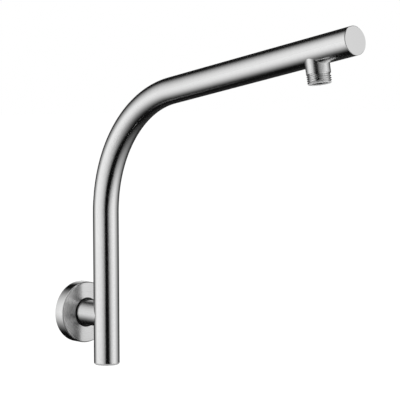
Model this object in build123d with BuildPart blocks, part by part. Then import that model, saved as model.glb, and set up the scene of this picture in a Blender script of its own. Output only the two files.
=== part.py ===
from build123d import *
from math import cos, radians, sin
import os

# High-rise shower arm: a bent tube on a wall spigot, with a loose cover flange.
# The origin is where the inlet axis meets the wall plane. +X points out of the wall,
# +Z points up the riser, and the tube's centreline lies in the XZ plane.

# Bent tube
tube_d = 25.0
tube_wall = 1.5
riser_x = 43.0  # wall plane to the riser's axis
riser_below = 48.0  # inlet axis down to the face of the foot cap
riser_above = 100.0  # inlet axis up to the start of the bend
bend_r = 120.0  # at the centreline
arm_rise = 10.0  # slope of the arm above level, in degrees
arm_run = 236.0  # end of the bend to the face of the tip cap

# Turned plugs that close the tube
plug_len = 7.0
plug_gap = 0.05  # brazing gap round a plug
plug_lead = 0.8  # chamfer at a plug's inner end
tip_disc = 2.0
tip_edge = 0.4  # chamfer at the rim of the tip cap
foot_disc = 4.0
foot_edge = 1.8  # round at the rim of the foot cap

# G 1/2 pipe thread, drawn at its major diameter
thread_d = 20.955
runout_deep = 1.28  # groove where the thread runs out, below the crests
runout_w = 0.7
runout_ramp = 0.7  # slope from the groove's floor up to the crests
thread_lead = 0.9  # chamfer at a thread's free end

# Inlet spigot
cope_land = 0.25  # turned this much inside the tube's radius, so that the coped end keeps a land
inlet_bore = 15.0
inlet_thread = 15.0  # shoulder to the free end
washer_room = 1.5  # wall plane to the shoulder, for a sealing washer
shoulder_edge = 0.6

# Outlet nipple
nipple_back = 46.5  # tip cap face to the nipple's axis
collar_d = 21.2
collar_out = 19.5  # arm axis to the end of the plain collar
outlet_thread = 8.5  # end of the collar to the free end
outlet_bore = 14.0
collar_edge = 0.25

# Cover flange
flange_d = 60.0
flange_depth = 12.0
flange_edge = 1.5  # round at the rim of the face
flange_face = 2.6
flange_rim = 2.0
flange_slip = 0.35  # radial room between the flange and the spigot
boss_wall = 4.0
boss_short = 3.5  # the boss stops this far in front of the wall plane

# Rubber ring in the mouth of the flange
ring_section = 2.0
ring_rub = 0.05  # radial room between the ring and the spigot
ring_seat_gap = 0.05
ring_sunk = 0.15  # below the flange's face

tube_r = tube_d / 2
bore_r = tube_r - tube_wall
spigot_d = tube_d - 2 * cope_land
spigot_r = spigot_d / 2
foot_z = -riser_below
bend_turn = 90 - arm_rise
rise = radians(arm_rise)

# Directions along the arm and out of its underside
arm_dir = Vector(cos(rise), 0, sin(rise))
outlet_dir = Vector(sin(rise), 0, -cos(rise))
bend_end = Vector(riser_x + bend_r * (1 - sin(rise)), 0, riser_above + bend_r * cos(rise))
tip_point = bend_end + arm_dir * arm_run
outlet_point = tip_point - arm_dir * nipple_back

# Each turned piece is a half section with its axis along the sketch's x direction
riser_up = Plane(origin=(riser_x, 0, foot_z), x_dir=(0, 0, 1), z_dir=(0, 1, 0))
arm_back = Plane(origin=tip_point, x_dir=-arm_dir, z_dir=(0, 1, 0))
inlet_back = Plane(origin=(0, 0, 0), x_dir=(-1, 0, 0), z_dir=(0, 1, 0))
outlet_down = Plane(origin=outlet_point, x_dir=outlet_dir, z_dir=(0, 1, 0))
wall_out = Plane(origin=(0, 0, 0), x_dir=(1, 0, 0), z_dir=(0, -1, 0))


def spin_axis(plane):
    return Axis(plane.origin, plane.x_dir)


def plug_section(plane, disc):
    # Disc flush with the tube, then a plug with a lead chamfer that fills the bore
    plug_r = bore_r - plug_gap
    inner_end = disc + plug_len
    with BuildSketch(plane) as section:
        with BuildLine():
            Polyline(
                (0, 0),
                (0, tube_r),
                (disc, tube_r),
                (disc, plug_r),
                (inner_end - plug_lead, plug_r),
                (inner_end, plug_r - plug_lead),
                (inner_end, 0),
                close=True,
            )
        make_face()
    return section.sketch


def nipple_section(plane, root, shoulder, body_d, edge, hole_d, thread_len):
    # Bored body, then a run-out groove and a thread with a lead chamfer
    body_r = body_d / 2
    hole_r = hole_d / 2
    thread_r = thread_d / 2
    runout_r = thread_r - runout_deep
    free_end = shoulder + thread_len
    with BuildSketch(plane) as section:
        with BuildLine():
            Polyline(
                (root, hole_r),
                (root, body_r),
                (shoulder - edge, body_r),
                (shoulder, body_r - edge),
                (shoulder, runout_r),
                (shoulder + runout_w, runout_r),
                (shoulder + runout_w + runout_ramp, thread_r),
                (free_end - thread_lead, thread_r),
                (free_end, thread_r - thread_lead),
                (free_end, hole_r),
                close=True,
            )
        make_face()
    return section.sketch


# Tube bent on one centreline, with a water hole behind the spigot and one over the nipple
with BuildPart() as arm_tube:
    with BuildLine(Plane.XZ) as centreline:
        Line((riser_x, foot_z + foot_disc), (riser_x, riser_above))
        JernArc(start=(riser_x, riser_above), tangent=(0, 1), radius=bend_r, arc_size=-bend_turn)
        PolarLine(start=(bend_end.X, bend_end.Z), length=arm_run - tip_disc, angle=arm_rise)
    with BuildSketch(Plane(origin=(riser_x, 0, foot_z + foot_disc))):
        Circle(tube_r)
        Circle(bore_r, mode=Mode.SUBTRACT)
    sweep(path=centreline.wires()[0])
    with BuildSketch(Plane(origin=(riser_x, 0, 0), z_dir=(-1, 0, 0))):
        Circle(inlet_bore / 2)
    extrude(amount=tube_d, mode=Mode.SUBTRACT)
    with BuildSketch(Plane(origin=outlet_point, z_dir=outlet_dir)):
        Circle(outlet_bore / 2)
    extrude(amount=tube_d, mode=Mode.SUBTRACT)

# Flat cap at the arm's free end
with BuildPart() as tip_cap:
    revolve(plug_section(arm_back, tip_disc), axis=spin_axis(arm_back))
    chamfer(tip_cap.edges().filter_by(GeomType.CIRCLE).sort_by(spin_axis(arm_back))[0], tip_edge)

# Rounded cap at the foot of the riser
with BuildPart() as foot_cap:
    revolve(plug_section(riser_up, foot_disc), axis=spin_axis(riser_up))
    fillet(foot_cap.edges().filter_by(GeomType.CIRCLE).sort_by(Axis.Z)[0], foot_edge)

# Spigot from the wall to the riser, coped to the riser's outside
with BuildPart() as inlet_spigot:
    turned = nipple_section(
        inlet_back, -riser_x, -washer_room, spigot_d, shoulder_edge, inlet_bore, inlet_thread
    )
    revolve(turned, axis=spin_axis(inlet_back))
    with BuildSketch(Plane(origin=(riser_x, 0, -spigot_d))):
        Circle(tube_r)
    extrude(amount=2 * spigot_d, mode=Mode.SUBTRACT)

# Nipple under the arm, coped to the arm's outside
with BuildPart() as outlet_nipple:
    turned = nipple_section(outlet_down, 0, collar_out, collar_d, collar_edge, outlet_bore, outlet_thread)
    revolve(turned, axis=spin_axis(outlet_down))
    with BuildSketch(Plane(origin=outlet_point - arm_dir * collar_d, z_dir=arm_dir)):
        Circle(tube_r)
    extrude(amount=2 * collar_d, mode=Mode.SUBTRACT)

# Hollow cover flange, with a boss round its hole and a seat for the rubber ring in its face
flange_r = flange_d / 2
slip_r = spigot_r + flange_slip
ring_in = spigot_r + ring_rub
ring_out = ring_in + ring_section
seat_r = ring_out + ring_seat_gap
seat_x = flange_depth - ring_sunk - ring_section
face_back = flange_depth - flange_face
boss_r = slip_r + boss_wall
rim_in = flange_r - flange_rim

with BuildPart() as wall_flange:
    with BuildSketch(wall_out):
        with BuildLine():
            Polyline(
                (0, rim_in),
                (0, flange_r),
                (flange_depth, flange_r),
                (flange_depth, seat_r),
                (seat_x, seat_r),
                (seat_x, slip_r),
                (boss_short, slip_r),
                (boss_short, boss_r),
                (face_back, boss_r),
                (face_back, rim_in),
                close=True,
            )
        make_face()
    revolve(axis=spin_axis(wall_out))
    outer_edges = wall_flange.edges().filter_by(GeomType.CIRCLE).group_by(SortBy.RADIUS)[-1]
    fillet(outer_edges.sort_by(Axis.X)[-1], flange_edge)

# Rubber ring that rubs on the spigot
with BuildPart() as flange_o_ring:
    with BuildSketch(wall_out):
        with Locations((seat_x + ring_section / 2, (ring_in + ring_out) / 2)):
            Circle(ring_section / 2)
    revolve(axis=spin_axis(wall_out))

os.makedirs("parts", exist_ok=True)
arm_tube.part.label = "arm_tube"
export_step(arm_tube.part, "parts/arm_tube.step")
tip_cap.part.label = "tip_cap"
export_step(tip_cap.part, "parts/tip_cap.step")
foot_cap.part.label = "foot_cap"
export_step(foot_cap.part, "parts/foot_cap.step")
inlet_spigot.part.label = "inlet_spigot"
export_step(inlet_spigot.part, "parts/inlet_spigot.step")
outlet_nipple.part.label = "outlet_nipple"
export_step(outlet_nipple.part, "parts/outlet_nipple.step")
wall_flange.part.label = "wall_flange"
export_step(wall_flange.part, "parts/wall_flange.step")
flange_o_ring.part.label = "flange_o_ring"
export_step(flange_o_ring.part, "parts/flange_o_ring.step")
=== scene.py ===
import math

import bmesh
import bpy
from mathutils import Matrix, Vector


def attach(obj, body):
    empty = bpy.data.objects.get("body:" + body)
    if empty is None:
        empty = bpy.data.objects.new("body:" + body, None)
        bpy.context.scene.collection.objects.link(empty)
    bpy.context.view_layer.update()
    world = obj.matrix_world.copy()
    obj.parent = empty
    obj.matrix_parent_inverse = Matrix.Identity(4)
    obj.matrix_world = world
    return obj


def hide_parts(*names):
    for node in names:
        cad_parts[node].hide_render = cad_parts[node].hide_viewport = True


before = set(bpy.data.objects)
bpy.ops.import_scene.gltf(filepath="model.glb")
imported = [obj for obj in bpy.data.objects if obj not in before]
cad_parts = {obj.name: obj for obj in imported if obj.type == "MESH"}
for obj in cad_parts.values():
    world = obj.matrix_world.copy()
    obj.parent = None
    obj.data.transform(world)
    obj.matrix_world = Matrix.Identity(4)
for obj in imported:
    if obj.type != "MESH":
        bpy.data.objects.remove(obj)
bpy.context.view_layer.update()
print("frame loaded with", ", ".join(sorted(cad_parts)))

scene = bpy.context.scene
scene.view_settings.view_transform = "Standard"
mm = 0.001
sharpFrom = math.radians(32)  # faces that meet at this angle or more show an edge
noiseSpan = (0.3, 0.7)  # nearly all values of a noise texture lie between these


def linear(hexColour):  # sRGB hex to linear RGBA
    parts = [int(hexColour[i:i + 2], 16) / 255 for i in (1, 3, 5)]
    return [p / 12.92 if p <= 0.04045 else ((p + 0.055) / 1.055) ** 2.4 for p in parts] + [1.0]


def addNode(tree, kind, inputs=None, **settings):
    node = tree.nodes.new(kind)
    for key, value in settings.items():
        setattr(node, key, value)
    for key, value in (inputs or {}).items():
        if isinstance(value, bpy.types.NodeSocket):
            tree.links.new(value, node.inputs[key])
        else:
            node.inputs[key].default_value = value
    return node


def newMaterial(name):
    material = bpy.data.materials.new(name)
    material.use_nodes = True
    material.node_tree.nodes.clear()
    return material, material.node_tree


def addObject(name, data):
    added = bpy.data.objects.new(name, data)
    scene.collection.objects.link(added)
    return added


def bakeModifiers(piece):  # the evaluated shape becomes the piece's own plain mesh
    seen = piece.evaluated_get(bpy.context.evaluated_depsgraph_get())
    baked = bpy.data.meshes.new_from_object(seen)
    piece.modifiers.clear()
    piece.data = baked


def newShapeTree(name, sizes):  # sizes: input name to socket type
    tree = bpy.data.node_groups.new(name, "GeometryNodeTree")
    tree.interface.new_socket("Geometry", in_out="INPUT", socket_type="NodeSocketGeometry")
    for label, kind in sizes.items():
        tree.interface.new_socket(label, in_out="INPUT", socket_type=kind)
    tree.interface.new_socket("Geometry", in_out="OUTPUT", socket_type="NodeSocketGeometry")
    return tree


def growShape(piece, tree, values):
    modifier = piece.modifiers.new(tree.name, "NODES")
    modifier.node_group = tree
    for item in tree.interface.items_tree:
        if item.in_out == "INPUT" and item.name in values:
            modifier[item.identifier] = values[item.name]
    bakeModifiers(piece)


def softEdges(mesh):  # smooth faces that break only at real edges
    work = bmesh.new()
    work.from_mesh(mesh)
    for face in work.faces:
        face.smooth = True
    for edge in work.edges:
        edge.smooth = edge.calc_face_angle(math.pi) < sharpFrom
    work.to_mesh(mesh)
    work.free()


def standFor(piece, node, body):
    softEdges(piece.data)
    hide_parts(node)
    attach(piece, body)
    print(node, "drawn with", len(piece.data.polygons), "faces")


# Camera at the photograph's viewing angle
view = {
    "azimuth": 48.509,  # degrees
    "elevation": 3.722,
    "roll": -0.2,
    "stand": (1.37113, -1.05263, 0.22201),
    "lens": 157.436,
}
camera = addObject("viewCamera", bpy.data.cameras.new("viewCamera"))
camera.data.lens = view["lens"]
camera.matrix_world = (
    Matrix.Translation(view["stand"])
    @ Matrix.Rotation(math.radians(view["azimuth"]), 4, "Z")
    @ Matrix.Rotation(math.radians(90 - view["elevation"]), 4, "X")
    @ Matrix.Rotation(math.radians(view["roll"]), 4, "Z")
)
scene.camera = camera
print("camera set")

# Line that the tube follows, in the XZ plane
route = {
    "riserX": 43 * mm,  # wall plane to the riser's axis
    "footZ": -48 * mm,
    "bendStartZ": 100 * mm,
    "bendRadius": 120 * mm,
    "armRise": math.radians(10),
    "armRun": 236 * mm,  # end of the bend to the face of the tip cap
    "outletBack": 46.5 * mm,  # tip cap face back to the outlet's axis
}
rise = route["armRise"]
armDir = Vector((math.cos(rise), 0, math.sin(rise)))
outletDir = Vector((math.sin(rise), 0, -math.cos(rise)))
upDir = Vector((0, 0, 1))
inDir = Vector((-1, 0, 0))  # into the wall
outDir = Vector((1, 0, 0))
cornerRun = route["bendRadius"] * math.tan((math.pi / 2 - rise) / 2)  # corner to the bend's ends
footPoint = Vector((route["riserX"], 0, route["footZ"]))
cornerPoint = Vector((route["riserX"], 0, route["bendStartZ"] + cornerRun))
tipPoint = cornerPoint + armDir * (cornerRun + route["armRun"])
outletPoint = tipPoint - armDir * route["outletBack"]
inletPoint = Vector((route["riserX"], 0, 0))
wallPoint = Vector((0, 0, 0))


def frameAlong(origin, axis):  # local x runs down the axis, local y is the frame's Y
    side = Vector((0, 1, 0))
    turned = Matrix((axis, side, axis.cross(side))).transposed().to_4x4()
    return Matrix.Translation(origin) @ turned


# Nickel-plated brass, brushed: a pale neutral mirror gone slightly soft, with fine lines round
# each piece where a belt or a tool ran. They draw a reflection out across them and leave it sharp
# along them.
nickel = {
    "brushed": ("#e4e4e4", "#eaeaea"),  # in the lines and between them
    "faced": ("#dfdfdf", "#e6e6e6"),
    "roughness": 0.12,
    "roughnessSpread": 0.04,
    "lineWidth": 0.7 * mm,  # real lines are near 0.05 mm wide, drawn coarser so that they show
    "lineLength": 20 * mm,
    "lineDepth": 0.0016 * mm,
    "lineDetail": 3.0,  # finer lines between the main ones
    "lineGrit": 0.6,  # and how strong they are
    "lineTurn": 0.25,  # a quarter turn draws reflections out across the lines
}


def nickelFinish(
    name, lineNodes, lines, roughness=nickel["roughness"], stretch=0.0, tone="brushed",
    metallic=1.0,
):
    # lineNodes builds the nodes that say where a point lies across and along the lines, and which
    # way they run. lines is a share of the full line depth. stretch draws reflections out across
    # the lines. A dull edge is rougher; metallic below 1 lets its pale colour show as matt
    # brightness, which is painted light.
    material, tree = newMaterial(name)
    place, lineWay = lineNodes(tree)
    noise = addNode(tree, "ShaderNodeTexNoise", {
        "Vector": place, "Scale": 1.0,
        "Detail": nickel["lineDetail"], "Roughness": nickel["lineGrit"],
    })
    spread = nickel["roughnessSpread"] / 2
    rub = addNode(tree, "ShaderNodeMapRange", {
        "Value": noise.outputs["Fac"], "From Min": noiseSpan[0], "From Max": noiseSpan[1],
        "To Min": roughness - spread, "To Max": roughness + spread,
    })
    shade = addNode(tree, "ShaderNodeValToRGB", {"Fac": noise.outputs["Fac"]})
    for stop, position, colour in zip(shade.color_ramp.elements, noiseSpan, nickel[tone]):
        stop.position = position
        stop.color = linear(colour)
    relief = addNode(tree, "ShaderNodeBump", {
        "Height": noise.outputs["Fac"], "Strength": 1.0, "Distance": nickel["lineDepth"] * lines,
    })
    metal = addNode(tree, "ShaderNodeBsdfPrincipled", {
        "Base Color": shade.outputs["Color"], "Metallic": metallic,
        "Roughness": rub.outputs["Result"], "Normal": relief.outputs["Normal"],
    })
    if stretch > 0:
        metal.inputs["Anisotropic"].default_value = stretch
        metal.inputs["Anisotropic Rotation"].default_value = nickel["lineTurn"]
        tree.links.new(lineWay, metal.inputs["Tangent"])
    addNode(tree, "ShaderNodeOutputMaterial", {"Surface": metal.outputs["BSDF"]})
    return material


def linesRoundTube(tree):  # the tube carries its own straightened place and the lines' way
    straight = addNode(tree, "ShaderNodeAttribute", attribute_name="straightened")
    along = 1 / nickel["lineLength"]
    stretched = addNode(tree, "ShaderNodeMapping", {
        "Vector": straight.outputs["Vector"], "Scale": (along, along, 1 / nickel["lineWidth"]),
    }, vector_type="POINT")
    around = addNode(tree, "ShaderNodeAttribute", attribute_name="aroundTube")
    return stretched.outputs["Vector"], around.outputs["Vector"]


def linesRoundAxis(place):  # lathe lines: rings round the piece's own axis
    def build(tree):
        coordinate = addNode(tree, "ShaderNodeTexCoord")
        across = nickel["lineWidth"]
        onAxis = addNode(tree, "ShaderNodeMapping", {
            "Vector": coordinate.outputs["Object"], "Location": place.to_translation(),
            "Rotation": place.to_euler(), "Scale": (across, across, across),
        }, vector_type="TEXTURE")
        split = addNode(tree, "ShaderNodeSeparateXYZ", {"Vector": onAxis.outputs["Vector"]})
        flat = addNode(tree, "ShaderNodeCombineXYZ", {
            "Y": split.outputs["Y"], "Z": split.outputs["Z"],
        })
        radius = addNode(tree, "ShaderNodeVectorMath", {
            0: flat.outputs["Vector"],
        }, operation="LENGTH")
        rings = addNode(tree, "ShaderNodeCombineXYZ", {
            "X": split.outputs["X"], "Y": radius.outputs["Value"],
        })
        fromAxis = addNode(tree, "ShaderNodeVectorMath", {
            0: coordinate.outputs["Object"], 1: place.to_translation(),
        }, operation="SUBTRACT")
        around = addNode(tree, "ShaderNodeVectorMath", {
            0: place.to_3x3().col[0], 1: fromAxis.outputs["Vector"],
        }, operation="CROSS_PRODUCT")
        return rings.outputs["Vector"], around.outputs["Vector"]
    return build


def turnedMesh(name, outline, place, steps, copeRadius=0.0):
    # outline: (along, radius, kind) rows, closed round unless it starts and ends on the axis.
    # A band between two faced rows takes the piece's second material.
    mesh = bpy.data.meshes.new(name)
    work = bmesh.new()
    threaded = work.verts.layers.float.new("threaded")
    rings = []
    for along, radius, kind in outline:
        ring = []
        for i in range(steps if radius > 0 else 1):
            angle = math.tau * i / steps
            y, z = radius * math.cos(angle), radius * math.sin(angle)
            x = math.sqrt(copeRadius ** 2 - y ** 2) if kind == "coped" else along
            vert = work.verts.new((x, y, z))
            vert[threaded] = 1.0 if kind == "threaded" else 0.0
            ring.append(vert)
        rings.append(ring)
    bands = list(range(len(rings) - 1)) + ([-1] if outline[0][1] > 0 else [])
    for band in bands:
        near, far = rings[band], rings[band + 1]
        faced = outline[band][2] == outline[band + 1][2] == "faced"
        for i in range(steps):
            j = (i + 1) % steps
            loop = [
                near[i % len(near)], near[j % len(near)], far[j % len(far)], far[i % len(far)],
            ]
            face = work.faces.new(dict.fromkeys(loop))  # three corners where a ring is one point
            face.material_index = 1 if faced else 0
    bmesh.ops.recalc_face_normals(work, faces=work.faces)
    work.to_mesh(mesh)
    work.free()
    mesh.transform(place)
    return mesh


def addTurned(name, outline, place, steps, *finishes):
    piece = addObject(name, turnedMesh(name, outline, place, steps))
    for finish in finishes:
        piece.data.materials.append(finish)
    return piece


def arc(along, radius, size, start, end, steps, kind="plain"):  # rounds of an outline
    rows = []
    for i in range(steps + 1):
        angle = math.radians(start + (end - start) * i / steps)
        rows.append((along + size * math.cos(angle), radius + size * math.sin(angle), kind))
    return rows


# Tube swept along the route, with its wall and its two water holes
tube = {
    "radius": 12.5 * mm,
    "wall": 1.5 * mm,
    "footDisc": 4 * mm,  # left for the foot cap
    "tipDisc": 2 * mm,  # left for the tip cap
    "inletHole": 7.5 * mm,
    "outletHole": 7 * mm,
    "holeAround": 64,
    "around": 96,
    "bendSteps": 200,
    "ringEvery": 3.5 * mm,
    "lines": 1.0,
    "roughness": 0.15,
    "stretch": 0.85,
}


def tubeTree():
    tree = newShapeTree("bentTube", {
        "Radius": "NodeSocketFloat", "Bend Radius": "NodeSocketFloat",
        "Bend Steps": "NodeSocketInt", "Around": "NodeSocketInt",
        "Ring Every": "NodeSocketFloat", "Finish": "NodeSocketMaterial",
    })
    given = addNode(tree, "NodeGroupInput")
    line = addNode(tree, "GeometryNodeMeshToCurve", {"Mesh": given.outputs["Geometry"]})
    bent = addNode(tree, "GeometryNodeFilletCurve", {
        "Curve": line.outputs["Curve"], "Count": given.outputs["Bend Steps"],
        "Radius": given.outputs["Bend Radius"],
    }, mode="POLY")
    rings = addNode(tree, "GeometryNodeResampleCurve", {
        "Curve": bent.outputs["Curve"], "Length": given.outputs["Ring Every"],
    }, mode="LENGTH")

    # What each ring and each point of the section knows is stored before the sweep
    spline = addNode(tree, "GeometryNodeSplineParameter")
    withRun = addNode(tree, "GeometryNodeStoreNamedAttribute", {
        "Geometry": rings.outputs["Curve"], "Name": "run", "Value": spline.outputs["Length"],
    }, data_type="FLOAT", domain="POINT")
    heading = addNode(tree, "GeometryNodeInputTangent")
    withHeading = addNode(tree, "GeometryNodeStoreNamedAttribute", {
        "Geometry": withRun.outputs["Geometry"], "Name": "heading",
        "Value": heading.outputs["Tangent"],
    }, data_type="FLOAT_VECTOR", domain="POINT")
    circle = addNode(tree, "GeometryNodeCurvePrimitiveCircle", {
        "Resolution": given.outputs["Around"], "Radius": given.outputs["Radius"],
    }, mode="RADIUS")
    place = addNode(tree, "GeometryNodeInputPosition")
    withSection = addNode(tree, "GeometryNodeStoreNamedAttribute", {
        "Geometry": circle.outputs["Curve"], "Name": "section",
        "Value": place.outputs["Position"],
    }, data_type="FLOAT_VECTOR", domain="POINT")
    swept = addNode(tree, "GeometryNodeCurveToMesh", {
        "Curve": withHeading.outputs["Geometry"],
        "Profile Curve": withSection.outputs["Geometry"],
    })

    # Place on the tube as if it were straight, and the way round it, for the brushed lines
    run = addNode(tree, "GeometryNodeInputNamedAttribute", {"Name": "run"}, data_type="FLOAT")
    section = addNode(tree, "GeometryNodeInputNamedAttribute", {
        "Name": "section",
    }, data_type="FLOAT_VECTOR")
    split = addNode(tree, "ShaderNodeSeparateXYZ", {"Vector": section.outputs["Attribute"]})
    straight = addNode(tree, "ShaderNodeCombineXYZ", {
        "X": split.outputs["X"], "Y": split.outputs["Y"], "Z": run.outputs["Attribute"],
    })
    marked = addNode(tree, "GeometryNodeStoreNamedAttribute", {
        "Geometry": swept.outputs["Mesh"], "Name": "straightened",
        "Value": straight.outputs["Vector"],
    }, data_type="FLOAT_VECTOR", domain="POINT")
    ahead = addNode(tree, "GeometryNodeInputNamedAttribute", {
        "Name": "heading",
    }, data_type="FLOAT_VECTOR")
    outward = addNode(tree, "GeometryNodeInputNormal")
    around = addNode(tree, "ShaderNodeVectorMath", {
        0: ahead.outputs["Attribute"], 1: outward.outputs["Normal"],
    }, operation="CROSS_PRODUCT")
    lined = addNode(tree, "GeometryNodeStoreNamedAttribute", {
        "Geometry": marked.outputs["Geometry"], "Name": "aroundTube",
        "Value": around.outputs["Vector"],
    }, data_type="FLOAT_VECTOR", domain="POINT")
    whole = addNode(tree, "GeometryNodeRealizeInstances", {"Geometry": lined.outputs["Geometry"]})
    finished = addNode(tree, "GeometryNodeSetMaterial", {
        "Geometry": whole.outputs["Geometry"], "Material": given.outputs["Finish"],
    })
    addNode(tree, "NodeGroupOutput", {"Geometry": finished.outputs["Geometry"]})
    return tree


def drill(piece, origin, axis, radius):
    reach = 3 * tube["radius"]  # well out of the tube's side
    outline = [
        (0, 0, "plain"),
        (0, radius, "plain"),
        (reach, radius, "plain"),
        (reach, 0, "plain"),
    ]
    cutter = addTurned("cutter", outline, frameAlong(origin, axis), tube["holeAround"])
    cut = piece.modifiers.new("waterHole", "BOOLEAN")
    cut.operation = "DIFFERENCE"
    cut.solver = "EXACT"
    cut.object = cutter
    bakeModifiers(piece)
    bpy.data.objects.remove(cutter)


brushedTube = nickelFinish(
    "nickelPlatedBrassBeltBrushed", linesRoundTube, tube["lines"], tube["roughness"],
    tube["stretch"],
)
path = bpy.data.meshes.new("armTube")
ends = [footPoint + upDir * tube["footDisc"], cornerPoint, tipPoint - armDir * tube["tipDisc"]]
path.from_pydata(ends, [(0, 1), (1, 2)], [])
armTube = addObject("armTube", path)
growShape(armTube, tubeTree(), {
    "Radius": tube["radius"], "Bend Radius": route["bendRadius"],
    "Bend Steps": tube["bendSteps"], "Around": tube["around"],
    "Ring Every": tube["ringEvery"], "Finish": brushedTube,
})
wall = armTube.modifiers.new("wall", "SOLIDIFY")
wall.thickness = tube["wall"]
wall.offset = -1  # inwards
wall.use_even_offset = True
bakeModifiers(armTube)
drill(armTube, inletPoint, inDir, tube["inletHole"])
drill(armTube, outletPoint, outletDir, tube["outletHole"])
standFor(armTube, "arm_tube", "arm")

# What both caps share: a disc flush with the tube and a plug in its bore
cap = {
    "plugRadius": 10.95 * mm,
    "plugLength": 7 * mm,
    "plugLead": 0.8 * mm,
    "faceRing": 0.5,  # one more ring on the face, at this share of its radius
    "around": 128,
    "lines": 0.4,
}


def capOutline(disc, rim, faceKind):
    radius, plug, lead = tube["radius"], cap["plugRadius"], cap["plugLead"]
    inner = disc + cap["plugLength"]
    return [
        (0, 0, faceKind),
        (0, radius * cap["faceRing"], faceKind),
        *rim,
        (disc, radius, "plain"),
        (disc, plug, "plain"),
        (inner - lead, plug, "plain"),
        (inner, plug - lead, "plain"),
        (inner, 0, "plain"),
    ]


# Flat cap at the arm's free end
tip = {"bevel": 0.4 * mm, "tone": "faced"}
tipPlace = frameAlong(tipPoint, -armDir)
tipRim = [(0, tube["radius"] - tip["bevel"], "plain"), (tip["bevel"], tube["radius"], "plain")]
tipFaced = nickelFinish(
    "nickelPlatedBrassFacedTip", linesRoundAxis(tipPlace), cap["lines"], tone=tip["tone"],
)
tipOutline = capOutline(tube["tipDisc"], tipRim, "plain")
tipCap = addTurned("tipCap", tipOutline, tipPlace, cap["around"], tipFaced)
standFor(tipCap, "tip_cap", "arm")

# Rounded cap at the foot of the riser. Its face and round are rougher and less metallic, so their
# pale colour shows as painted light where the metal would mirror the dark net below
foot = {"round": 1.8 * mm, "roundSteps": 8, "roughness": 0.5, "metallic": 0.55}
footPlace = frameAlong(footPoint, upDir)
footRim = arc(
    foot["round"], tube["radius"] - foot["round"], foot["round"], 180, 90,
    foot["roundSteps"], "faced",
)
footTurned = nickelFinish("nickelPlatedBrassTurnedFoot", linesRoundAxis(footPlace), cap["lines"])
# rougher and less metallic: the pale colour shows as matt brightness, which is painted light
footPaintedLight = nickelFinish(
    "nickelPlatedBrassFootPaintedLight", linesRoundAxis(footPlace), cap["lines"], foot["roughness"],
    metallic=foot["metallic"],
)
footOutline = capOutline(tube["footDisc"], footRim, "faced")
footCap = addTurned("footCap", footOutline, footPlace, cap["around"], footTurned, footPaintedLight)
standFor(footCap, "foot_cap", "arm")

# What spigot and nipple share: an end coped to the tube, and a right-handed G 1/2 thread, cut by a
# tree that pulls the rows in along a helix
thread = {
    "crest": 10.4775 * mm,
    "pitch": 1.814 * mm,
    "depth": 1.162 * mm,
    "runoutDeep": 1.28 * mm,
    "runoutWidth": 0.7 * mm,
    "runoutRamp": 0.7 * mm,
    "lead": 0.9 * mm,
    "roughness": 0.18,
    "leadRoughness": 0.5,  # the chamfer at the free end is left as cut
    # less metallic, so the chamfer's pale colour shows as painted light where the metal would
    # mirror the dark net below
    "leadMetallic": 0.4,
    "rowsPerPitch": 16,
    "copeRows": 6,
    "around": 128,
}


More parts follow.
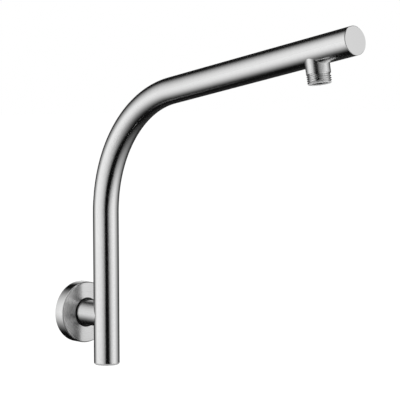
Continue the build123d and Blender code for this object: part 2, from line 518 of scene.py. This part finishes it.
def threadTree():
    tree = newShapeTree("cutThread", {
        "Crest": "NodeSocketFloat", "Pitch": "NodeSocketFloat", "Depth": "NodeSocketFloat",
        "Finish": "NodeSocketMaterial",
    })
    given = addNode(tree, "NodeGroupInput")
    place = addNode(tree, "GeometryNodeInputPosition")
    split = addNode(tree, "ShaderNodeSeparateXYZ", {"Vector": place.outputs["Position"]})

    # How deep the thread is at this place along and round the axis
    turn = addNode(tree, "ShaderNodeMath", {
        0: split.outputs["Z"], 1: split.outputs["Y"],
    }, operation="ARCTAN2")
    turns = addNode(tree, "ShaderNodeMath", {
        0: turn.outputs[0], 1: math.tau,
    }, operation="DIVIDE")
    pitches = addNode(tree, "ShaderNodeMath", {
        0: split.outputs["X"], 1: given.outputs["Pitch"],
    }, operation="DIVIDE")
    phase = addNode(tree, "ShaderNodeMath", {
        0: pitches.outputs[0], 1: turns.outputs[0],
    }, operation="SUBTRACT")
    angle = addNode(tree, "ShaderNodeMath", {
        0: phase.outputs[0], 1: math.tau,
    }, operation="MULTIPLY")
    wave = addNode(tree, "ShaderNodeMath", {0: angle.outputs[0]}, operation="COSINE")
    share = addNode(tree, "ShaderNodeMath", {  # 0 on a crest, 1 in a root
        0: wave.outputs[0], 1: -0.5, 2: 0.5,
    }, operation="MULTIPLY_ADD")
    deep = addNode(tree, "ShaderNodeMath", {
        0: share.outputs[0], 1: given.outputs["Depth"],
    }, operation="MULTIPLY")
    cutTo = addNode(tree, "ShaderNodeMath", {
        0: given.outputs["Crest"], 1: deep.outputs[0],
    }, operation="SUBTRACT")

    # Points that stand further out than that are pulled in towards the axis
    flat = addNode(tree, "ShaderNodeCombineXYZ", {
        "Y": split.outputs["Y"], "Z": split.outputs["Z"],
    })
    radius = addNode(tree, "ShaderNodeVectorMath", {0: flat.outputs["Vector"]}, operation="LENGTH")
    kept = addNode(tree, "ShaderNodeMath", {
        0: radius.outputs["Value"], 1: cutTo.outputs[0],
    }, operation="MINIMUM")
    shrink = addNode(tree, "ShaderNodeMath", {
        0: kept.outputs[0], 1: radius.outputs["Value"],
    }, operation="DIVIDE")
    pulled = addNode(tree, "ShaderNodeVectorMath", {
        0: flat.outputs["Vector"], "Scale": shrink.outputs[0],
    }, operation="SCALE")
    pulledSplit = addNode(tree, "ShaderNodeSeparateXYZ", {"Vector": pulled.outputs["Vector"]})
    target = addNode(tree, "ShaderNodeCombineXYZ", {
        "X": split.outputs["X"], "Y": pulledSplit.outputs["Y"], "Z": pulledSplit.outputs["Z"],
    })
    marked = addNode(tree, "GeometryNodeInputNamedAttribute", {
        "Name": "threaded",
    }, data_type="FLOAT")
    moved = addNode(tree, "GeometryNodeSetPosition", {
        "Geometry": given.outputs["Geometry"], "Selection": marked.outputs["Attribute"],
        "Position": target.outputs["Vector"],
    })
    whole = addNode(tree, "GeometryNodeRealizeInstances", {"Geometry": moved.outputs["Geometry"]})
    finished = addNode(tree, "GeometryNodeSetMaterial", {
        "Geometry": whole.outputs["Geometry"], "Material": given.outputs["Finish"],
    })
    addNode(tree, "NodeGroupOutput", {"Geometry": finished.outputs["Geometry"]})
    return tree


def nippleOutline(spec):
    floor = thread["crest"] - thread["runoutDeep"]
    shoulder, bore, body = spec["shoulder"], spec["bore"], spec["body"]
    freeEnd = shoulder + spec["threadLength"]
    cutStart = shoulder + thread["runoutWidth"]
    copeRows = thread["copeRows"]
    rows = [(0, bore + (body - bore) * i / copeRows, "coped") for i in range(copeRows + 1)]
    rows.append((shoulder - spec["edge"], body, "plain"))
    rows.append((shoulder, body - spec["edge"], "plain"))
    rows.append((shoulder, floor, "plain"))
    steps = round((freeEnd - cutStart) / thread["pitch"] * thread["rowsPerPitch"])
    for i in range(steps + 1):
        along = cutStart + (freeEnd - cutStart) * i / steps
        ramp = floor + (along - cutStart) * thread["runoutDeep"] / thread["runoutRamp"]
        lead = thread["crest"] - max(0, along - freeEnd + thread["lead"])
        rows.append((along, min(thread["crest"], ramp, lead), "threaded"))
    rows.append((freeEnd, bore + spec["boreEdge"], "plain"))
    rows.append((freeEnd - spec["boreEdge"], bore, "plain"))
    return rows


cutThread = threadTree()


def makeNipple(name, spec, origin, axis):
    place = frameAlong(origin, axis)
    rings, lines = linesRoundAxis(place), spec["lines"]
    bodyFinish = nickelFinish(spec["finish"], rings, lines, spec["roughness"], spec["stretch"])
    threadFinish = nickelFinish(spec["finish"] + "Thread", rings, lines, thread["roughness"])
    # the free end: rougher, and less metallic so that its pale colour shows as painted light
    leadFinishPaintedLight = nickelFinish(
        spec["finish"] + "Lead", rings, lines, thread["leadRoughness"],
        metallic=thread["leadMetallic"],
    )
    outline = nippleOutline(spec)  # cut on its own axis, then put in its place
    mesh = turnedMesh(name, outline, Matrix.Identity(4), thread["around"], tube["radius"])
    piece = addObject(name, mesh)
    growShape(piece, cutThread, {
        "Crest": thread["crest"], "Pitch": thread["pitch"], "Depth": thread["depth"],
        "Finish": bodyFinish,
    })
    piece.data.materials.append(threadFinish)
    piece.data.materials.append(leadFinishPaintedLight)
    leadFrom = spec["shoulder"] + spec["threadLength"] - thread["lead"]
    for face in piece.data.polygons:  # body, thread and free end
        face.material_index = (face.center.x > spec["shoulder"]) + (face.center.x > leadFrom)
    piece.data.transform(place)
    return piece


# Spigot from the riser back through the wall, measured from the riser's axis
inlet = {
    "body": 12.25 * mm,
    "bore": 7.5 * mm,
    "shoulder": 41.5 * mm,
    "threadLength": 15 * mm,
    "edge": 0.6 * mm,
    "boreEdge": 0.5 * mm,
    "finish": "nickelPlatedBrassTurnedSpigot",
    "lines": 0.6,
    "roughness": 0.22,
    "stretch": 0.93,
}
inletSpigot = makeNipple("inletSpigot", inlet, inletPoint, inDir)
standFor(inletSpigot, "inlet_spigot", "arm")

# Nipple under the arm, measured from the arm's axis
outlet = {
    "body": 10.6 * mm,
    "bore": 7 * mm,
    "shoulder": 19.5 * mm,
    "threadLength": 8.5 * mm,
    "edge": 0.25 * mm,
    "boreEdge": 0.5 * mm,
    "finish": "nickelPlatedBrassTurnedNipple",
    "lines": 0.6,
    "roughness": 0.28,
    "stretch": 0.7,
}
outletNipple = makeNipple("outletNipple", outlet, outletPoint, outletDir)
standFor(outletNipple, "outlet_nipple", "arm")

# Hollow cover flange with a boss behind its hole and a seat for the rubber ring
flange = {
    "radius": 30 * mm,
    "depth": 12 * mm,
    "edge": 1.5 * mm,
    "edgeSteps": 8,
    "bevel": 0.2 * mm,  # at the mouth of the seat and at the back of the rim
    "faceBack": 9.4 * mm,
    "rimInside": 28 * mm,
    "seatRadius": 14.35 * mm,
    "seatX": 9.85 * mm,
    "holeRadius": 12.6 * mm,
    "bossRadius": 16.6 * mm,
    "bossX": 3.5 * mm,
    "around": 192,
    "lines": 0.5,
    "faceRoughness": 0.28,
    "faceStretch": 0.95,
}


def flangeOutline():
    f = flange
    radius, depth, edge, bevel = f["radius"], f["depth"], f["edge"], f["bevel"]
    return [
        (0, f["rimInside"], "plain"),
        (0, radius - bevel, "plain"),
        (bevel, radius, "plain"),
        *arc(depth - edge, radius - edge, edge, 90, 0, f["edgeSteps"], "faced")[:-1],
        (depth, radius - edge, "faced"),
        (depth, f["seatRadius"] + bevel, "faced"),
        (depth - bevel, f["seatRadius"], "plain"),
        (f["seatX"], f["seatRadius"], "plain"),
        (f["seatX"], f["holeRadius"], "plain"),
        (f["bossX"], f["holeRadius"], "plain"),
        (f["bossX"], f["bossRadius"], "plain"),
        (f["faceBack"], f["bossRadius"], "plain"),
        (f["faceBack"], f["rimInside"], "plain"),
    ]


flangePlace = frameAlong(wallPoint, outDir)
flangeRings = linesRoundAxis(flangePlace)
rimTurned = nickelFinish("nickelPlatedBrassTurnedRim", flangeRings, flange["lines"])
faceTurned = nickelFinish(
    "nickelPlatedBrassTurnedFace", flangeRings, flange["lines"], flange["faceRoughness"],
    flange["faceStretch"], "faced",
)
wallFlange = addTurned(
    "wallFlange", flangeOutline(), flangePlace, flange["around"], rimTurned, faceTurned,
)
standFor(wallFlange, "wall_flange", "flange")
wallFlange.visible_glossy = False  # the spigot mirrors the studio and not the flange

# Rubber ring, moulded: matt black with a faint even grain that keeps its highlight broad and dim
ring = {
    "alongX": 10.85 * mm,
    "middleRadius": 13.3 * mm,
    "section": 1 * mm,
    "sectionSteps": 24,
    "around": 128,
    "colour": "#0d0d0d",
    "ior": 1.5,
    "roughness": 0.55,
    "roughnessSpread": 0.12,
    "grain": 0.3 * mm,  # real grain is near 0.05 mm, drawn coarser so that it shows
    "grainDepth": 0.006 * mm,
    "grainDetail": 2.0,
}


def rubberFinish(name):
    material, tree = newMaterial(name)
    coordinate = addNode(tree, "ShaderNodeTexCoord")
    grain = addNode(tree, "ShaderNodeTexNoise", {
        "Vector": coordinate.outputs["Object"], "Scale": 1 / ring["grain"],
        "Detail": ring["grainDetail"],
    })
    spread = ring["roughnessSpread"] / 2
    rub = addNode(tree, "ShaderNodeMapRange", {
        "Value": grain.outputs["Fac"], "From Min": noiseSpan[0], "From Max": noiseSpan[1],
        "To Min": ring["roughness"] - spread, "To Max": ring["roughness"] + spread,
    })
    relief = addNode(tree, "ShaderNodeBump", {
        "Height": grain.outputs["Fac"], "Strength": 1.0, "Distance": ring["grainDepth"],
    })
    rubber = addNode(tree, "ShaderNodeBsdfPrincipled", {
        "Base Color": linear(ring["colour"]), "Roughness": rub.outputs["Result"],
        "IOR": ring["ior"], "Normal": relief.outputs["Normal"],
    })
    addNode(tree, "ShaderNodeOutputMaterial", {"Surface": rubber.outputs["BSDF"]})
    return material


lastTurn = 360 - 360 / ring["sectionSteps"]
ringRows = arc(
    ring["alongX"], ring["middleRadius"], ring["section"], 0, lastTurn, ring["sectionSteps"] - 1,
)
blackRubber = rubberFinish("rubberMouldedBlack")
flangeRing = addTurned("flangeRing", ringRows, flangePlace, ring["around"], blackRubber)
standFor(flangeRing, "flange_o_ring", "flange")

# Pale floor under the object, a white sky and one lamp
studio = {
    "floorZ": -0.4,
    "floorSize": 60.0,
    "floorColour": "#f4f4f4",
    "floorLift": 0.26,  # makes up for light that the floor loses, in what is seen of it only
    "lightColour": "#ffffff",
    "skyLight": 0.85,  # share of the white sky that lights matt things
    "lampPower": 8.0,
    "lampSize": 0.8,
    "lampStand": (0.5, -0.5, 2.0),
    "lampAim": (0.2, 0, 0.1),
}
lightColour = linear(studio["lightColour"])


def seenRays(tree):  # 1 for rays that see the background: direct, mirrored or through glass
    rays = addNode(tree, "ShaderNodeLightPath")
    direct = addNode(tree, "ShaderNodeMath", {
        0: rays.outputs["Is Camera Ray"], 1: rays.outputs["Is Glossy Ray"],
    }, operation="MAXIMUM")
    seen = addNode(tree, "ShaderNodeMath", {
        0: direct.outputs[0], 1: rays.outputs["Is Transmission Ray"],
    }, operation="MAXIMUM")
    return seen.outputs[0]


# Paper sweep, matt: an even white with no gloss that fades into the sky
floorPaper, floorTree = newMaterial("paperSweepMatt")
lift = addNode(floorTree, "ShaderNodeMath", {
    0: seenRays(floorTree), 1: studio["floorLift"],
}, operation="MULTIPLY")
paper = addNode(floorTree, "ShaderNodeBsdfDiffuse", {"Color": linear(studio["floorColour"])})
glow = addNode(floorTree, "ShaderNodeEmission", {
    "Color": lightColour, "Strength": lift.outputs[0],
})
sheet = addNode(floorTree, "ShaderNodeAddShader", {0: paper.outputs[0], 1: glow.outputs[0]})
addNode(floorTree, "ShaderNodeOutputMaterial", {"Surface": sheet.outputs[0]})

half = studio["floorSize"] / 2
floorCorners = [
    (x, y, studio["floorZ"])
    for x, y in ((-half, -half), (half, -half), (half, half), (-half, half))
]
floorMesh = bpy.data.meshes.new("studioFloor")
floorMesh.from_pydata(floorCorners, [], [(0, 1, 2, 3)])
floorMesh.materials.append(floorPaper)
studioFloor = addObject("studioFloor", floorMesh)

# Full white for what is seen of the sky, a little less for what lights matt things
sky = bpy.data.worlds.new("whiteSky")
scene.world = sky
sky.use_nodes = True
skyTree = sky.node_tree
skyTree.nodes.clear()
strength = addNode(skyTree, "ShaderNodeMath", {
    0: seenRays(skyTree), 1: 1 - studio["skyLight"], 2: studio["skyLight"],
}, operation="MULTIPLY_ADD")
white = addNode(skyTree, "ShaderNodeBackground", {
    "Color": lightColour, "Strength": strength.outputs[0],
})
addNode(skyTree, "ShaderNodeOutputWorld", {"Surface": white.outputs["Background"]})

lampData = bpy.data.lights.new("overheadLamp", "AREA")
lampData.energy = studio["lampPower"]
lampData.size = studio["lampSize"]
overheadLamp = addObject("overheadLamp", lampData)
overheadLamp.location = studio["lampStand"]
aim = Vector(studio["lampAim"]) - overheadLamp.location
overheadLamp.rotation_euler = aim.to_track_quat("-Z", "Y").to_euler()
overheadLamp.visible_glossy = False  # no hard glint on the metal
print("floor, sky and lamp set")

# Grey nets round the set, seen only by the metal: they give a polished tube its pale bands and dark
# edge lines
net = {
    "darkest": 0.005,
    "middle": (0.09, 0.0, 0.15),  # of the object
    "aboveFloor": 0.02,
}


def between(value, low, high):  # 0 below low, 1 above high
    return min(1, max(0, (value - low) / (high - low)))


def netMesh(name, points, levels, columns, closed):
    faces = []
    for low in range(0, len(points) - columns, columns):
        for column in range(columns if closed else columns - 1):
            after = (column + 1) % columns
            faces.append((low + column, low + after, low + columns + after, low + columns + column))
    mesh = bpy.data.meshes.new(name)
    mesh.from_pydata(points, [], faces)
    layer = mesh.attributes.new("openness", "FLOAT", "POINT")
    layer.data.foreach_set("value", [max(net["darkest"], level) for level in levels])
    return mesh


# Front net, open but for a dark strip where the camera looks through
front = {
    "azimuth": 48.5,
    "point": (0.48, -0.30),  # middle of the dark strip
    "ahead": 0.5,  # from the object's middle to the net
    "stripLeft": 0.09,
    "stripRight": 0.06,
    "stripLean": 0.45,  # the strip widens to the right below the object's middle
    "leanDeep": 0.5,  # down to this far below it
    "leftEdge": 0.24,  # how softly the strip ends on either side
    "rightEdge": 0.3,
    "reach": 3.0,
    "columns": 241,
    "lowRows": (0, 0.1, 0.2, 0.3, 0.4, 0.5),  # heights above the net's foot, where the strip leans
}


def stripOpenness(across, below):  # metres from the strip's middle and below the object's
    lean = front["stripLean"] * min(front["leanDeep"], max(0, below))
    toRight = across - front["stripRight"] - lean
    toLeft = -across - front["stripLeft"]
    return 1 - math.exp(-max(0, toRight / front["rightEdge"], toLeft / front["leftEdge"]))


def frontMesh():
    a = math.radians(front["azimuth"])
    middle = Vector((*front["point"], studio["floorZ"] + net["aboveFloor"]))
    right = Vector((math.cos(a), math.sin(a), 0))
    columns = front["columns"]
    points, levels = [], []
    for height in (*front["lowRows"], front["reach"]):
        for column in range(columns):
            across = front["reach"] * (2 * column / (columns - 1) - 1)
            points.append(middle + right * across + Vector((0, 0, height)))
            levels.append(stripOpenness(across, net["middle"][2] - points[-1].z))
    return netMesh("frontNet", points, levels, columns, False)


# Tent, pale at the left, at the right and at the top, dark at the back and on most of the floor.
# Its azimuths run from the front by the right to the back and the left.
tent = {
    "reach": 6.0,
    "columns": 180,
    "rows": 89,
    "pole": 89,  # elevation of its last rows, above and below
    "backFrom": 190.0,  # azimuths between which it is dark
    "backTo": 263.0,
    "backGlow": 0.05,  # what the dark back lets through at its right end
    "rightFade": 62.0,  # degrees from dark to open on either side
    "leftFade": 50.0,
    "rightCurve": 1.1,  # how late it opens there
    "leftCurve": 1.4,
    "rightLow": 12.0,  # well below the horizon the dark back lies this much further left
    "leftLow": 13.0,
    "lowAt": 50.0,  # degrees below the horizon where it does so in full
    "rightSink": 2.5,  # how fast either side darkens below the horizon
    "leftSink": 3,
    "rightTop": (20.0, 50.0),  # elevations between which the right side darkens upwards
    "rightTopFade": 50.0,  # azimuth by which it does so in full
    "topFrom": 58.0,  # elevation from which the whole tent turns pale upwards
    "topAt": 75.0,
    "topOpen": 0.8,
}


def tentOpenness(azimuth, elevation, point):
    lower = between(-elevation, 0, tent["lowAt"])
    backFrom = tent["backFrom"] + tent["rightLow"] * lower
    backTo = tent["backTo"] + tent["leftLow"] * lower
    if azimuth < backFrom:
        share = between(backFrom - azimuth, 0, tent["rightFade"]) ** tent["rightCurve"]
        upward = between(elevation, *tent["rightTop"])
        share *= 1 - upward * between(azimuth, 0, tent["rightTopFade"])
    else:
        leftFade = tent["leftFade"] - tent["leftLow"] * lower
        share = between(azimuth - backTo, 0, leftFade) ** tent["leftCurve"]
    share = max(share, tent["backGlow"] * (backTo - azimuth) / (backTo - backFrom))
    if elevation < 0:
        sink = tent["rightSink"] if azimuth < backFrom else tent["leftSink"]
        share *= math.cos(math.radians(elevation)) ** sink
        turn = math.radians(azimuth - front["azimuth"])
        ahead = (point - Vector(net["middle"])).xy.length * math.cos(turn)
        if 0 < ahead < front["ahead"]:  # floor nearer than the front net
            share *= stripOpenness(front["ahead"] * math.tan(turn), front["leanDeep"])
    toTop = between(elevation, tent["topFrom"], tent["topAt"])
    return share + (tent["topOpen"] - share) * toTop


def tentMesh():
    middle = Vector(net["middle"])
    drop = middle.z - studio["floorZ"] - net["aboveFloor"]
    columns, rows, pole = tent["columns"], tent["rows"], tent["pole"]
    points, levels = [], []
    for row in range(rows + 1):
        elevation = -pole + 2 * pole * row / rows
        for column in range(columns):
            azimuth = 360 * column / columns
            a, e = math.radians(azimuth), math.radians(elevation)
            flat = math.cos(e)
            direction = Vector((math.sin(a) * flat, -math.cos(a) * flat, math.sin(e)))
            reach = tent["reach"]
            if direction.z * reach < -drop:  # the tent's foot lies on the floor
                reach = -drop / direction.z
            points.append(middle + direction * reach)
            levels.append(tentOpenness(azimuth, elevation, points[-1]))
    return netMesh("tentNet", points, levels, columns, True)


# Glowing card behind the flange, which the top of its rim mirrors: a painted reflection
card = {
    "stand": (-0.4, 0.3),
    "halfWidth": 0.13,
    "low": 0.08,
    "high": 0.38,
    "lowGlow": 0.95,  # the light on it fades upwards
    "highGlow": 0.0,
}


def cardSheet():
    a = math.radians(front["azimuth"])
    across = Vector((math.cos(a), math.sin(a))) * card["halfWidth"]
    bottom, top = (card["low"], card["lowGlow"]), (card["high"], card["highGlow"])
    corners, glows = [], []
    for side, (height, level) in ((-1, bottom), (1, bottom), (1, top), (-1, top)):
        corners.append((*(Vector(card["stand"]) + across * side), height))
        glows.append(level)
    mesh = bpy.data.meshes.new("whiteCard")
    mesh.from_pydata(corners, [], [(0, 1, 2, 3)])
    mesh.attributes.new("glow", "FLOAT", "POINT").data.foreach_set("value", glows)
    return mesh


# Card that glows, brightest at its foot and fading upwards, seen only in reflections: a painted
# reflection on the top of the flange's rim
cardWhite, cardTree = newMaterial("cardWhite")
cardFade = addNode(cardTree, "ShaderNodeAttribute", attribute_name="glow")
cardGlow = addNode(cardTree, "ShaderNodeEmission", {
    "Color": lightColour, "Strength": cardFade.outputs["Fac"],
})
addNode(cardTree, "ShaderNodeOutputMaterial", {"Surface": cardGlow.outputs["Emission"]})

# Net cloth, grey: the closer its weave, the less white sky shows through it
netCloth, netTree = newMaterial("netClothGrey")
weave = addNode(netTree, "ShaderNodeAttribute", attribute_name="openness")
through = addNode(netTree, "ShaderNodeBsdfTransparent", {"Color": weave.outputs["Color"]})
addNode(netTree, "ShaderNodeOutputMaterial", {"Surface": through.outputs["BSDF"]})

for mesh, cloth in ((tentMesh(), netCloth), (frontMesh(), netCloth), (cardSheet(), cardWhite)):
    mesh.materials.append(cloth)
    hung = addObject(mesh.name, mesh)
    hung.visible_camera = False
    hung.visible_diffuse = False
    hung.visible_transmission = False
    hung.visible_shadow = False
print("nets and card hung")
